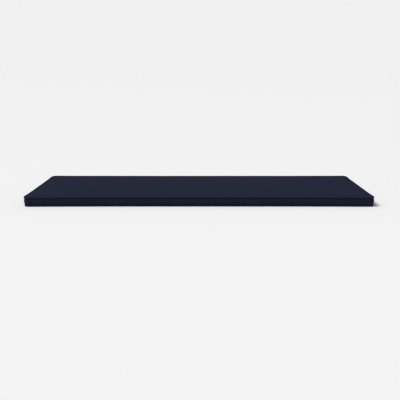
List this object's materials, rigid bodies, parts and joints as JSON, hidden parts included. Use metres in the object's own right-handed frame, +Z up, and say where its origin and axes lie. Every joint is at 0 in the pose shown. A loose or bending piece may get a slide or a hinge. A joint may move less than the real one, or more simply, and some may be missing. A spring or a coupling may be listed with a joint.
{
  "type": "bench cushion",
  "caption": "Long, thin boxed bench cushion in plain navy cloth, softly crowned, with self-fabric piping round its upper and lower edges.",
  "frame": {"origin": "the middle of the flat underside, which is the bottom centre of the bounding box", "axes": "+X along the cushion, +Y from its front to its back, +Z up"},
  "size_m": [1.64, 0.45, 0.053],
  "materials": {
    "navy_cloth": "plain woven, matt",
    "navy_piping": "plain woven, cut on the bias over a cord, matt"
  },
  "bodies": {
    "root": {"cushion_body": "navy_cloth", "top_piping": "navy_piping", "bottom_piping": "navy_piping"}
  },
  "joints": []
}
